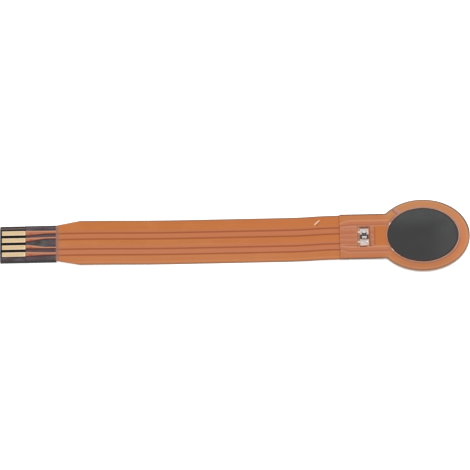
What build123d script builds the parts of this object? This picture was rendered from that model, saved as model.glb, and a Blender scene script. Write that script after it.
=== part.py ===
from build123d import *

import os

# Force sensing resistor on a flexible printed tail: a round sensing head, a flat tail with four
# copper conductors, and a stiffened contact end for a flat-cable socket. The laminate lies as it
# comes to rest: the stiffener lifts one end, the rear adhesive lifts the head, and the tail sags
# to the table between them.
#
# Frame: origin at the centre of the head on its mounting face, +X away from the tail, +Z up.
# All sizes are in millimetres.

# Plan of the film
sensor_length = 50.0
tail_width = 6.2
neck_radius = 0.35
end_corner_radius = 0.15

# Sensing head: black disc, thin seal round it and an orange rim outside that
disc_radius = 3.8
disc_seat = 0.3
seal_width = 0.1
rim_width = 1.1

# Contact end, for a socket of four ways
contact_pitch = 1.0
contact_width = 0.6
contact_length = 2.5
contact_inset = 0.2
connector_margin = 1.0
stiffener_length = 6.0
taper_length = 2.5

# Copper traces of the tail, and their way round the chip to the combs
trace_width = 0.3
trace_window_gap = 0.03
land_trace_inset = 0.24
full_width_run = 0.3
narrowing_length = 1.8
lead_spread = 0.27
lead_run = 1.0
lead_width = 0.45

# Comb electrodes under the disc
comb_margin = 0.2
comb_bus_width = 0.2
comb_bar_width = 0.2
comb_gap = 0.2

# Thicknesses of the layers
base_thickness = 0.04
copper_thickness = 0.025
plating_thickness = 0.015
cover_over_copper = 0.035
spacer_thickness = 0.05
head_film_thickness = 0.08
disc_thickness = 0.10
rear_adhesive_thickness = 0.20
stiffener_thickness = 0.19
stiffener_glue_thickness = 0.03

# Chip resistor, one millimetre by a half
chip_width = 0.5
chip_length = 1.0
chip_height = 0.40
cap_band = 0.25
cap_thickness = 0.03
resistive_film_thickness = 0.01
coat_thickness = 0.03
coat_clearance = 0.01

# Lands of the chip and the window that shows it
chip_distance = 6.24
land_width = 0.9
land_length = 0.93
land_gap = 0.6
window_right_margin = 0.15
window_left_margin = 0.27
window_end_margin = 0.13
window_corner_radius = 0.15
window_step = 0.05

# Solder on the lands: a thin wetted layer, and a hollow slope up the end of the chip
solder_wetting = 0.03
solder_edge = 0.02
solder_climb = 0.16
solder_reach = 0.45
solder_side_reach = 0.17

# Small features of the head laminate
step_distance = 1.86
pocket_wall = 0.49
pocket_width = 2.57
vent_width = 0.5
vent_angle = 129.5
rear_adhesive_inset = 0.03
disc_edge_radius = 0.03
seal_shoulder = 0.015

# Bends of the tail: how far it stays level past a support, and the share of its free length that
# each bend takes. The rest of the free length lies on the table.
bend_clearance = 0.3
stiffener_bend_share = 0.47
head_bend_share = 0.18

# Places in the plan, worked out from the sizes above
window_radius = disc_radius + seal_width
head_radius = window_radius + rim_width
active_radius = disc_radius - disc_seat
comb_radius = active_radius - comb_margin
comb_reach = comb_radius - comb_bus_width - comb_gap
comb_pitch = comb_bar_width + comb_gap
comb_half_count = int(comb_reach / comb_pitch)

inner_finger_y = contact_pitch / 2
outer_finger_y = inner_finger_y + contact_pitch
connector_width = 2 * (outer_finger_y + connector_margin)
connector_end = head_radius - sensor_length
stiffener_end = connector_end + stiffener_length
taper_end = stiffener_end + taper_length
contact_start = connector_end + contact_inset
contact_end = contact_start + contact_length
trace_start = contact_end + full_width_run + narrowing_length

chip_x = -chip_distance
land_y = (land_gap + land_length) / 2
window_left = chip_x - land_width / 2 - window_left_margin
window_right = chip_x + land_width / 2 + window_right_margin
window_x = (window_left + window_right) / 2
window_length = window_right - window_left
window_width = 2 * (land_y + land_length / 2 + window_end_margin)
step_x = window_left - step_distance
pocket_x = window_right + pocket_wall

inner_trace_y = (land_gap + trace_width) / 2 + land_trace_inset
outer_trace_y = (window_width + trace_width) / 2 + trace_window_gap
lead_x = step_x + lead_run
lead_y = outer_trace_y + lead_spread
lead_end = -(((comb_radius - comb_bus_width / 2) ** 2 - lead_y**2) ** 0.5)

# Heights, worked out from the layer thicknesses
stiffener_lift = stiffener_thickness + stiffener_glue_thickness
head_lift = rear_adhesive_thickness
copper_top = base_thickness + copper_thickness
cover_top = copper_top + cover_over_copper
spacer_z = head_lift + cover_top
disc_z = spacer_z + spacer_thickness
chip_z = head_lift + copper_top + solder_wetting
body_top = chip_z + chip_height - cap_thickness

# Blanks that are larger than the film every way
blank_width = head_radius + tail_width
blank_height = stiffener_lift + disc_z + disc_thickness


def film_line(height):
    """Side view of one surface of the film, at a height above the film's underside.

    Level on the stiffener, an S-bend down to the table, a level stretch there, an S-bend up to
    the head, and level under the head. Each bend is two equal arcs that share a tangent.
    """
    leaves_stiffener = stiffener_end + bend_clearance
    reaches_head = step_x - bend_clearance
    free_length = reaches_head - leaves_stiffener
    lands = leaves_stiffener + stiffener_bend_share * free_length
    lifts = reaches_head - head_bend_share * free_length

    level = Line((connector_end, stiffener_lift + height), (leaves_stiffener, stiffener_lift + height))
    halfway = ((leaves_stiffener + lands) / 2, stiffener_lift / 2 + height)
    bend = TangentArc(level @ 1, halfway, tangent=level % 1)
    TangentArc(halfway, (lands, height), tangent=bend % 1)

    level = Line((lands, height), (lifts, height))
    halfway = ((lifts + reaches_head) / 2, head_lift / 2 + height)
    bend = TangentArc(level @ 1, halfway, tangent=level % 1)
    TangentArc(halfway, (reaches_head, head_lift + height), tangent=bend % 1)
    Line((reaches_head, head_lift + height), (head_radius, head_lift + height))


def film_section(low, high):
    """Side view of one bent layer, between two heights above the film's underside."""
    with BuildSketch(Plane.XZ) as section:
        with BuildLine():
            film_line(low)
            film_line(high)
            Line((connector_end, stiffener_lift + low), (connector_end, stiffener_lift + high))
            Line((head_radius, head_lift + low), (head_radius, head_lift + high))
        make_face()
    return section.sketch


def conductor_run(stations):
    """Plan of a stretch of conductor with straight sides, through stations of (x, y, width)."""
    far_side = [(x, y + width / 2) for x, y, width in stations]
    near_side = [(x, y - width / 2) for x, y, width in stations]
    with BuildSketch() as plan:
        with BuildLine():
            Polyline(far_side + near_side[::-1], close=True)
        make_face()
    return plan.sketch


def comb_plan(side):
    """Plan of one comb electrode: a half ring with every second bar hanging from it.

    side is 1 for the comb whose half ring is at +Y and -1 for the other. The bars of one comb
    stop a gap short of the other's half ring.
    """
    first = -comb_half_count if side > 0 else 1 - comb_half_count
    with BuildSketch() as own_half:
        Circle(comb_radius)
        with Locations((0, side * (comb_radius + comb_gap / 2))):
            Rectangle(2 * comb_radius, 2 * comb_radius, mode=Mode.INTERSECT)
    with BuildSketch() as plan:
        for bar in range(first, comb_half_count, 2):
            with Locations(((bar + 0.5) * comb_pitch, 0)):
                Rectangle(comb_bar_width, 2 * comb_radius)
        with BuildSketch(mode=Mode.INTERSECT):
            Circle(comb_reach)
            add(own_half.sketch)
        with BuildSketch():
            add(own_half.sketch)
            Circle(comb_radius - comb_bus_width, mode=Mode.SUBTRACT)
    return plan.sketch


# Outline of the whole film: contact end, taper, tail and round head
with BuildSketch() as film_outline:
    with BuildLine():
        Polyline(
            (connector_end, 0),
            (connector_end, connector_width / 2),
            (stiffener_end, connector_width / 2),
            (taper_end, tail_width / 2),
            (0, tail_width / 2),
            (0, 0),
        )
        mirror(about=Plane.XZ)
    make_face()
    Circle(head_radius)
    fillet(film_outline.vertices().group_by(Axis.X)[0], end_corner_radius)
    fillet([v for v in film_outline.vertices() if -head_radius < v.X < 0], neck_radius)

# Outline of the raised laminate, from its step in the tail to the far side of the head
with BuildSketch() as head_outline:
    add(film_outline.sketch)
    with Locations((step_x, 0)):
        Rectangle(
            sensor_length, blank_width, align=(Align.MIN, Align.CENTER), mode=Mode.INTERSECT
        )

# Window in the cover film and the spacer, through which the chip shows
with BuildSketch() as chip_window:
    with Locations((window_x, 0)):
        RectangleRounded(window_length, window_width, window_corner_radius)

os.makedirs("parts", exist_ok=True)

# Rear adhesive under the head, cut a little smaller than the film
with BuildPart() as rear_adhesive:
    with BuildSketch():
        add(head_outline.sketch)
        offset(amount=-rear_adhesive_inset, mode=Mode.REPLACE)
    extrude(amount=rear_adhesive_thickness)
rear_adhesive.part.label = "rear_adhesive"
export_step(rear_adhesive.part, "parts/rear_adhesive.step")

# Stiffener under the contact end
with BuildPart() as stiffener:
    with BuildSketch() as stiffener_plan:
        with Locations((connector_end, 0)):
            Rectangle(stiffener_length, connector_width, align=(Align.MIN, Align.CENTER))
        fillet(stiffener_plan.vertices().group_by(Axis.X)[0], end_corner_radius)
    extrude(amount=stiffener_thickness)
stiffener.part.label = "stiffener"
export_step(stiffener.part, "parts/stiffener.step")

# Glue layer between the stiffener and the base film
with BuildPart() as stiffener_glue:
    with BuildSketch(Plane.XY.offset(stiffener_thickness)):
        add(stiffener_plan.sketch)
    extrude(amount=stiffener_glue_thickness)
stiffener_glue.part.label = "stiffener_glue"
export_step(stiffener_glue.part, "parts/stiffener_glue.step")

# Base film: the polyimide carrier of the whole circuit
with BuildPart() as base_film:
    extrude(film_section(0, base_thickness), amount=blank_width, both=True)
    extrude(film_outline.sketch, amount=blank_height, both=True, mode=Mode.INTERSECT)
base_film.part.label = "base_film"
export_step(base_film.part, "parts/base_film.step")

# Conductors, each etched in one piece: a contact finger, which narrows to its trace. The outer
# two spread and widen under the head's step, run past the chip and end in the combs under the
# disc. The inner two end in the lands of the chip.
conductors = []
for side, is_outer in ((1, True), (1, False), (-1, False), (-1, True)):
    finger_y = side * (outer_finger_y if is_outer else inner_finger_y)
    trace_y = side * (outer_trace_y if is_outer else inner_trace_y)
    stations = [
        (contact_start, finger_y, contact_width),
        (contact_end + full_width_run, finger_y, contact_width),
        (trace_start, trace_y, trace_width),
    ]
    if is_outer:
        stations += [
            (step_x, trace_y, trace_width),
            (lead_x, side * lead_y, lead_width),
            (lead_end, side * lead_y, lead_width),
        ]
    else:
        stations.append((chip_x, trace_y, trace_width))
    with BuildSketch() as conductor_plan:
        add(conductor_run(stations))
        if is_outer:
            add(comb_plan(side))
        else:
            with Locations((chip_x, side * land_y)):
                Rectangle(land_width, land_length)
    with BuildPart() as conductor:
        extrude(film_section(base_thickness, copper_top), amount=blank_width, both=True)
        extrude(conductor_plan.sketch, amount=blank_height, both=True, mode=Mode.INTERSECT)
    conductors.append(conductor.part)
    conductor.part.label = f"conductor_{len(conductors)}"
    export_step(conductor.part, f"parts/conductor_{len(conductors)}.step")

# Gold plating on the bare stretch of each contact finger
finger_rows = (outer_finger_y, inner_finger_y, -inner_finger_y, -outer_finger_y)
for number, finger_y in enumerate(finger_rows, start=1):
    with BuildPart() as contact_plating:
        with BuildSketch(Plane.XY.offset(stiffener_lift + copper_top)):
            with Locations((contact_start, finger_y)):
                Rectangle(contact_length, contact_width, align=(Align.MIN, Align.CENTER))
        extrude(amount=plating_thickness)
    contact_plating.part.label = f"contact_plating_{number}"
    export_step(contact_plating.part, f"parts/contact_plating_{number}.step")

# Cover film: laid over the copper, with a channel for each conductor, the chip's window, and a
# round opening over the combs
with BuildPart() as cover_film:
    extrude(film_section(base_thickness, cover_top), amount=blank_width, both=True)
    with BuildSketch() as cover_outline:
        add(film_outline.sketch)
        with Locations((contact_end, 0)):
            Rectangle(
                sensor_length, blank_width, align=(Align.MIN, Align.CENTER), mode=Mode.INTERSECT
            )
        add(chip_window.sketch, mode=Mode.SUBTRACT)
        Circle(active_radius, mode=Mode.SUBTRACT)
    extrude(cover_outline.sketch, amount=blank_height, both=True, mode=Mode.INTERSECT)
    add(conductors, mode=Mode.SUBTRACT)
cover_film.part.label = "cover_film"
export_step(cover_film.part, "parts/cover_film.step")

# Spacer: the adhesive ring that keeps the disc off the combs, with an air pocket towards the
# chip and a vent slot out through the rim
with BuildPart() as spacer:
    with BuildSketch(Plane.XY.offset(spacer_z)):
        add(head_outline.sketch)
        add(chip_window.sketch, mode=Mode.SUBTRACT)
        Circle(active_radius, mode=Mode.SUBTRACT)
        with Locations((pocket_x, 0)):
            Rectangle(
                -pocket_x, pocket_width, align=(Align.MIN, Align.CENTER), mode=Mode.SUBTRACT
            )
        with Locations(Rotation(0, 0, vent_angle)):
            Rectangle(
                2 * head_radius, vent_width, align=(Align.MIN, Align.CENTER), mode=Mode.SUBTRACT
            )
    extrude(amount=spacer_thickness)
spacer.part.label = "spacer"
export_step(spacer.part, "parts/spacer.step")

# Head film: the upper laminate, with the round window for the disc and a chip window that is a
# little wider than the one below it
with BuildPart() as head_film:
    with BuildSketch(Plane.XY.offset(disc_z)):
        add(head_outline.sketch)
        Circle(window_radius, mode=Mode.SUBTRACT)
        with BuildSketch(mode=Mode.SUBTRACT):
            add(chip_window.sketch)
            offset(amount=window_step, mode=Mode.REPLACE)
    extrude(amount=head_film_thickness)
head_film.part.label = "head_film"
export_step(head_film.part, "parts/head_film.step")

# Force sensing disc, which rests on the lip of the spacer above the combs
with BuildPart() as force_disc:
    with BuildSketch(Plane.XY.offset(disc_z)):
        Circle(disc_radius)
    extrude(amount=disc_thickness)
    fillet(force_disc.faces().sort_by(Axis.Z)[-1].edges(), disc_edge_radius)
force_disc.part.label = "force_disc"
export_step(force_disc.part, "parts/force_disc.step")

# Seal in the slit between the disc and the head film: a bead that stands above the film by the
# radius of its rounded shoulders
with BuildPart() as disc_seal:
    with BuildSketch(Plane.XZ):
        with Locations((disc_radius, disc_z)):
            Rectangle(
                seal_width, head_film_thickness + seal_shoulder, align=(Align.MIN, Align.MIN)
            )
        fillet(vertices().group_by(Axis.Y)[-1], seal_shoulder)
    revolve(axis=Axis.Z)
disc_seal.part.label = "disc_seal"
export_step(disc_seal.part, "parts/disc_seal.step")

# Ceramic body of the chip resistor
with BuildPart() as chip_body:
    with BuildSketch(Plane.XY.offset(chip_z + cap_thickness)):
        with Locations((chip_x, 0)):
            Rectangle(chip_width, chip_length - 2 * cap_thickness)
    extrude(amount=chip_height - 2 * cap_thickness)
chip_body.part.label = "chip_body"
export_step(chip_body.part, "parts/chip_body.step")

# Resistive film on the ceramic, from one end cap to the other
with BuildPart() as chip_resistive_film:
    with BuildSketch(Plane.XY.offset(body_top)):
        with Locations((chip_x, 0)):
            Rectangle(chip_width - 2 * coat_clearance, chip_length - 2 * cap_band)
    extrude(amount=resistive_film_thickness)
chip_resistive_film.part.label = "chip_resistive_film"
export_step(chip_resistive_film.part, "parts/chip_resistive_film.step")

# Black protective coat over the resistive film
with BuildPart() as chip_coat:
    with BuildSketch(Plane.XY.offset(body_top + resistive_film_thickness)):
        with Locations((chip_x, 0)):
            Rectangle(
                chip_width - 2 * coat_clearance, chip_length - 2 * cap_band - 2 * coat_clearance
            )
    extrude(amount=coat_thickness)
chip_coat.part.label = "chip_coat"
export_step(chip_coat.part, "parts/chip_coat.step")


def solder_slope(start, reach):
    """Hollow slope of solder, from its foot a reach away, level there, up to its climb at start."""
    return TangentArc((start + reach, 0), (start, solder_climb), tangent=(-reach, 0))


# Side view and end view of the chip, with their origins on the solder under its middle
chip_side_view = Plane(origin=(chip_x, 0, chip_z), x_dir=(0, 1, 0), z_dir=(1, 0, 0))
chip_end_view = Plane(origin=(chip_x, 0, chip_z), x_dir=(1, 0, 0), z_dir=(0, -1, 0))

for number, side in ((1, 1), (2, -1)):
    # End cap, wrapped over the top, the end and the underside of the ceramic body
    with BuildPart() as chip_cap:
        with BuildSketch(chip_side_view):
            with Locations((side * (chip_length - cap_band) / 2, chip_height / 2)):
                Rectangle(cap_band, chip_height)
            with Locations((0, chip_height / 2)):
                Rectangle(
                    chip_length - 2 * cap_thickness,
                    chip_height - 2 * cap_thickness,
                    mode=Mode.SUBTRACT,
                )
        extrude(amount=chip_width / 2, both=True)
    chip_cap.part.label = f"chip_cap_{number}"
    export_step(chip_cap.part, f"parts/chip_cap_{number}.step")

    # Solder joint: a fillet that slopes away from the cap's end and to both sides, on a wetted
    # layer over the land and over the bared end of its trace
    with BuildPart() as solder_joint:
        with BuildSketch(chip_side_view):
            with BuildLine():
                slope = solder_slope(side * chip_length / 2, side * solder_reach)
                Polyline(slope @ 1, (side * chip_length / 2, 0), slope @ 0)
            make_face()
        extrude(amount=land_width / 2, both=True)
        with BuildSketch(chip_end_view):
            with BuildLine():
                slope = solder_slope(chip_width / 2, solder_side_reach)
                Line((0, solder_climb), slope @ 1)
                Line(slope @ 0, (0, 0))
                mirror(about=Plane.YZ)
            make_face()
        extrude(amount=chip_length / 2 + solder_reach, both=True, mode=Mode.INTERSECT)
        with BuildSketch(Plane.XY.offset(head_lift + copper_top)):
            with Locations((chip_x, side * land_y)):
                Rectangle(land_width - 2 * solder_edge, land_length - 2 * solder_edge)
            with Locations((window_left, side * inner_trace_y)):
                Rectangle(
                    window_left_margin + 2 * solder_edge,
                    trace_width - 2 * solder_edge,
                    align=(Align.MIN, Align.CENTER),
                )
        extrude(amount=solder_wetting)
    solder_joint.part.label = f"solder_joint_{number}"
    export_step(solder_joint.part, f"parts/solder_joint_{number}.step")
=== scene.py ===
import math

import bmesh
import bpy
import numpy as np
from mathutils import Matrix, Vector
from mathutils.geometry import delaunay_2d_cdt


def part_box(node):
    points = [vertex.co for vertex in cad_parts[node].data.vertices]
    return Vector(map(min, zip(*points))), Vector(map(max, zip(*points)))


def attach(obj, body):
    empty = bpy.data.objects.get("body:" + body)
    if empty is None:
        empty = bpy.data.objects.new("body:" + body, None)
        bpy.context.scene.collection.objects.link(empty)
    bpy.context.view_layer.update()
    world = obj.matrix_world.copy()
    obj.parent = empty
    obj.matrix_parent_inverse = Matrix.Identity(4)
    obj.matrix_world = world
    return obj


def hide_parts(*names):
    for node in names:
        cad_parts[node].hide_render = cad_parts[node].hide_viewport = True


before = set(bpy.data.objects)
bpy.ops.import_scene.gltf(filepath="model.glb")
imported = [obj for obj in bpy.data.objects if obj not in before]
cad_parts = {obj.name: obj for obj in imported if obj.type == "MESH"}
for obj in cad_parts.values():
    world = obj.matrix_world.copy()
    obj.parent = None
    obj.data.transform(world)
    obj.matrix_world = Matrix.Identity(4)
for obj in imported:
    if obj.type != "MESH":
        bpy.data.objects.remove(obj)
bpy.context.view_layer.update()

mm = 0.001
scene = bpy.context.scene


# Rear adhesive
# Milky tissue tape by which the head is stuck down. It is cut a little smaller than the film, so
# that only its edge and its underside ever show.

def linear(red, green, blue):
    """Colour as read off a screen, 0 to 255 a channel, as the linear values that shaders take."""
    part = np.array((red, green, blue)) / 255
    value = np.where(part <= 0.04045, part / 12.92, ((part + 0.055) / 1.055) ** 2.4)
    return (*value.tolist(), 1.0)


class Finish:
    """A surface finish while its nodes are laid out. x, y and z are places on the piece in mm.

    tone is its colour so far. Plain colours are red, green and blue as read off a screen.
    """

    def __init__(self, name, roughness, metallic=0.0, level=0.5):
        self.material = bpy.data.materials.new(name)
        self.material.use_nodes = True
        self.tree = self.material.node_tree
        self.shader = self.tree.nodes["Principled BSDF"]
        self.shader.inputs["Roughness"].default_value = roughness
        self.shader.inputs["Metallic"].default_value = metallic
        self.shader.inputs["Specular IOR Level"].default_value = level
        place = self.add("TexCoord").outputs
        self.point = self.add("VectorMath", operation="SCALE", Vector=place["Object"], Scale=1 / mm)
        self.point = self.point.outputs[0]
        self.x, self.y, self.z = self.add("SeparateXYZ", Vector=self.point).outputs
        self.facing = self.add("SeparateXYZ", Vector=place["Normal"]).outputs["Z"]

    def add(self, kind, operation=None, **inputs):
        """Adds one node and feeds its inputs, each from a socket or as a plain value."""
        node = self.tree.nodes.new("ShaderNode" + kind)
        if operation:
            node.operation = operation
        for name, value in inputs.items():
            self.feed(node.inputs[name.replace("_", " ")], value)
        return node

    def feed(self, socket, value):
        """Gives a socket its value, which is another node's output or a constant."""
        if isinstance(value, bpy.types.NodeSocket):
            self.tree.links.new(value, socket)
        else:
            socket.default_value = value

    def math(self, operation, first, second=0.0):
        """One arithmetic step on two values."""
        node = self.add("Math", operation=operation)
        self.feed(node.inputs[0], first)
        self.feed(node.inputs[1], second)
        return node.outputs[0]

    def both(self, first, second):
        """One value times another, which for two masks is the mask where both are 1."""
        return self.math("MULTIPLY", first, second)

    def less(self, first, second):
        """One value less another."""
        return self.math("SUBTRACT", first, second)

    def ramp(self, value, start, stop, low=0.0, high=1.0, smooth=True):
        """Value that goes from low to high while the given one goes from start to stop."""
        node = self.add("MapRange", Value=value)
        node.interpolation_type = "SMOOTHSTEP" if smooth else "LINEAR"
        for name, limit in (("From Min", start), ("From Max", stop), ("To Min", low), ("To Max", high)):
            self.feed(node.inputs[name], limit)
        return node.outputs["Result"]

    def band(self, value, low, high, soft):
        """Mask that is 1 between low and high and fades to 0 over a soft width at both sides."""
        rise = self.ramp(value, low - soft / 2, low + soft / 2)
        return self.both(rise, self.ramp(value, high + soft / 2, high - soft / 2))

    def patch(self, x_low, x_high, y_low, y_high, soft):
        """Mask of a rectangle in the plan, in mm, with soft edges."""
        return self.both(self.band(self.x, x_low, x_high, soft), self.band(self.y, y_low, y_high, soft))

    def along_across(self, angle, x=0.0, y=0.0):
        """Distances along and across a direction, in radians, from a place in the plan."""
        x, y = self.less(self.x, x), self.less(self.y, y)
        along = self.math("ADD", self.both(x, math.cos(angle)), self.both(y, math.sin(angle)))
        return along, self.less(self.both(y, math.cos(angle)), self.both(x, math.sin(angle)))

    def from_axis(self, x=0.0, y=0.0):
        """Distance in mm from an upright axis, which is the root of the sum of both squares."""
        x, y = self.less(self.x, x), self.less(self.y, y)
        return self.math("SQRT", self.math("ADD", self.both(x, x), self.both(y, y)))

    def upright(self):
        """Mask of the walls, 1 where the surface stands upright and 0 where it lies flat."""
        return self.ramp(self.math("ABSOLUTE", self.facing), 0.6, 0.3)

    def spot(self, x, y, inner, outer):
        """Mask of a round spot in the plan, 1 inside one radius and 0 outside the other, in mm."""
        return self.ramp(self.from_axis(x, y), outer, inner)

    def noise(self, scale, stretch=(1.0, 1.0, 1.0), detail=2.0):
        """Cloudy noise of about 0.5. scale is in features a mm, stretch is a factor for each axis."""
        placed = self.add("VectorMath", operation="MULTIPLY")
        self.feed(placed.inputs[0], self.point)
        self.feed(placed.inputs[1], stretch)
        node = self.add("TexNoise", Vector=placed.outputs[0], Scale=scale, Detail=detail)
        return node.outputs["Fac"]

    def mix(self, colour, other, factor):
        """Colour that turns into the other as the factor goes from 0 to 1."""
        node = self.add("Mix")
        node.data_type = "RGBA"
        self.feed(node.inputs[0], factor)
        for number, value in ((6, colour), (7, other)):
            self.feed(node.inputs[number], linear(*value) if isinstance(value, tuple) else value)
        return node.outputs[2]

    def tint(self, other, strength, *masks):
        """Turns the tone into another colour where all masks are 1, at most by the strength."""
        for mask in masks:
            strength = self.both(mask, strength)
        self.tone = self.mix(self.tone, other, strength)

    def bump(self, height, depth):
        """Bumps the surface by a height mask, where 1 is raised by a depth in mm."""
        node = self.add("Bump", Height=height, Distance=depth * mm)
        old = self.shader.inputs["Normal"]
        if old.is_linked:
            self.feed(node.inputs["Normal"], old.links[0].from_socket)
        self.feed(old, node.outputs["Normal"])

    def done(self):
        """Gives the material, with the tone as its colour."""
        self.feed(self.shader.inputs["Base Color"], self.tone)
        return self.material


def dress(node, material):
    """Gives a solid of the frame its finish."""
    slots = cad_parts[node].data.materials
    slots.clear()
    slots.append(material)


tape = Finish("tissue_tape", roughness=0.6)
pulp = tape.noise(1.5, detail=4.0)
fibres = tape.noise(4.0, stretch=(1.0, 0.15, 1.0))
tape.tone = tape.mix((253, 251, 247), (246, 242, 235), tape.ramp(pulp, 0.35, 0.65))
tape.tint((232, 227, 216), 0.3, tape.ramp(fibres, 0.5, 0.8))
tape.bump(fibres, 0.004)
dress("rear_adhesive", tape.done())


# Stiffener
# A black glass-fibre plate under the contact end, held by a thin layer of amber glue. Its faces show
# the weave faintly.

weave = Finish("black_laminate", roughness=0.5, level=0.3)
weave_pitch = 0.42
warp = weave.math("SINE", weave.both(weave.x, 2 * math.pi / weave_pitch))
weft = weave.math("SINE", weave.both(weave.y, 2 * math.pi / weave_pitch))
cloth = weave.ramp(weave.both(warp, weft), -1.0, 1.0)
grain = weave.noise(9.0, detail=4.0)
weave.tone = weave.mix((24, 22, 24), (36, 33, 35), cloth)
weave.tint((62, 56, 54), 0.5, weave.ramp(grain, 0.52, 0.78))
weave.bump(cloth, 0.004)
weave.bump(grain, 0.003)
dress("stiffener", weave.done())

glue = Finish("film_glue", roughness=0.45)
haze = glue.noise(1.1, detail=3.0)
glue.tone = glue.mix((178, 136, 106), (158, 114, 82), glue.ramp(haze, 0.35, 0.65))
glue.tint((56, 48, 46), 0.9, glue.ramp(glue.x, -30.0, -35.0))
glue.bump(haze, 0.002)
dress("stiffener_glue", glue.done())


# Base film
# The amber polyimide that carries the copper, with the outline of the whole sensor. From below
# the traces and combs show through it, and over the stiffener it looks nearly black.

contact_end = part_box("cover_film")[0].x / mm
stiffener_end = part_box("stiffener")[1].x / mm
step_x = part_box("head_film")[0].x / mm
head_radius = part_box("base_film")[1].x / mm
tail_half = 3.1
full_width_run = 0.3
narrowing_length = 1.8
lead_run = 1.0
narrows = (contact_end + full_width_run, contact_end + full_width_run + narrowing_length)
spreads = (step_x, step_x + lead_run)
onto_ring = (-4.4, -4.0)
combs_x = -2.6
finger_y = (0.5, 1.5)
trace_y = (0.69, 1.54)
lead_y = 1.81
finger_half = 0.3
trace_half = 0.15
lead_half = 0.225

chip_low, chip_high = (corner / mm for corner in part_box("chip_body"))
chip_x = (chip_low.x + chip_high.x) / 2
window_left = -6.96
window_right = -5.64
window_half = 1.36
window_corner = 0.15
# Along x, where the painted shade and the dark flux of the chip's window begin.
shade_and_flux_from = chip_x - 0.45


def amber_film(name):
    """Starts a polyimide finish: amber, a little paler towards -Y as a painted sheen, with long faint
    streaks.
    """
    film = Finish(name, roughness=0.38, level=0.3)
    streaks = film.noise(2.4, stretch=(0.05, 1.0, 1.0), detail=4.0)
    # Paler towards -Y: a painted sheen of reflected light.
    film.tone = film.mix((196, 114, 50), (197, 120, 70), film.ramp(film.y, 1.6, -1.6))
    film.tint((186, 103, 46), 0.45, film.ramp(streaks, 0.42, 0.72))
    film.tint((202, 127, 72), 0.4, film.ramp(film.noise(0.5, detail=3.0), 0.45, 0.75))
    film.bump(streaks, 0.0012)
    film.bump(film.noise(11.0, detail=1.0), 0.0006)
    return film


def trace_edges(film, side, number):
    """Distances inside the near edge and outside the far edge of a trace, across the tail in mm.

    side is 1 or -1, and number is 0 for the inner trace of that side or 1 for the outer one,
    which turns outwards into its broader lead at the head. Near is the edge towards -Y.
    """
    middle = film.ramp(film.x, *narrows, finger_y[number], trace_y[number], smooth=False)
    half = film.ramp(film.x, *narrows, finger_half, trace_half, smooth=False)
    if number:
        outwards = film.ramp(film.x, *spreads, 0.0, lead_y - trace_y[1], smooth=False)
        wider = film.ramp(film.x, *spreads, 0.0, lead_half - trace_half, smooth=False)
        middle = film.math("ADD", middle, outwards)
        half = film.math("ADD", half, wider)
    away = film.less(film.y, film.both(middle, side))
    return film.math("ADD", away, half), film.less(away, half)


def trace_body(film, near, far, stop):
    """Mask of a trace between its edges, up to a place along the tail."""
    inside = film.both(film.ramp(near, -0.04, 0.04), film.ramp(far, 0.04, -0.04))
    return film.both(inside, film.ramp(film.x, stop + 0.05, stop - 0.05))


base = amber_film("base_polyimide")
for side in (1, -1):
    for number, stop in ((1, combs_x), (0, chip_x)):
        base.tint((158, 90, 52), 0.8, trace_body(base, *trace_edges(base, side, number), stop))
over_plate = base.ramp(base.x, stiffener_end + 0.05, stiffener_end - 0.05)
mottle = base.noise(2.2, stretch=(0.4, 1.0, 1.0), detail=4.0)
amber = base.tone
base.tone = base.mix((66, 56, 58), (92, 82, 86), base.ramp(mottle, 0.35, 0.65))
base.tint((124, 108, 104), 0.9, base.band(base.y, 2.1, 2.25, 0.05))
# Painted shade: a dark band just beyond the outer contacts, beside the gold.
base.tint((44, 31, 27), 0.9, base.band(base.y, 1.75, 2.1, 0.05))
base.tint((52, 42, 38), 0.9, base.ramp(base.y, 2.22, 2.28))
base.tint((58, 52, 53), 0.6, base.ramp(base.y, -2.36, -2.44))
# Painted shade in the gaps between the raised contacts, nearly black.
base.tint((20, 17, 10), 1.0, base.band(base.y, -1.85, 1.85, 0.06))
base.tone = base.mix(amber, base.tone, over_plate)
floor_patch = base.patch(window_left, window_right, -window_half, window_half, 0.05)
base.tint((188, 138, 112), 0.9, floor_patch)
# Painted shade on the window floor along its far wall.
base.tint((130, 92, 80), 0.85, base.patch(shade_and_flux_from, chip_x + 0.42, 1.16, window_half, 0.1))
# Painted light on the far left corner of the window floor, which lies in the wall's shade.
far_corner_light = base.patch(window_left - 0.1, chip_x - 0.48, 1.0, window_half + 0.1, 0.1)
base.tint((222, 160, 132), 0.5, far_corner_light)
# Between the lands, under the chip: dark flux together with the chip's painted shadow.
base.tint((54, 40, 36), 0.9, base.patch(shade_and_flux_from, chip_x + 0.45, -0.33, 0.33, 0.12))
flat_tone = base.tone
base.tone = base.mix((186, 144, 118), (30, 22, 22), over_plate)
beside_neck = base.patch(step_x, onto_ring[0], -tail_half - 0.1, tail_half + 0.1, 0.1)
base.tint((116, 80, 60), 0.9, beside_neck)
# Painted light on the walls at the ring, which lie in shade.
base.tint((212, 182, 162), 0.9, base.ramp(base.x, *onto_ring))
base.tint((158, 118, 84), 1.0, floor_patch)
base.tone = base.mix(flat_tone, base.tone, base.upright())
base.feed(base.shader.inputs["Specular IOR Level"], base.ramp(over_plate, 0.0, 1.0, 0.3, 0.1))
dress("base_film", base.done())


# Conductors
# Four conductors etched from rolled copper. Only their lands and the bared ends beside the chip
# show in the window, tinned and dull, and the rims of the fingers beside the plating.

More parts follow.
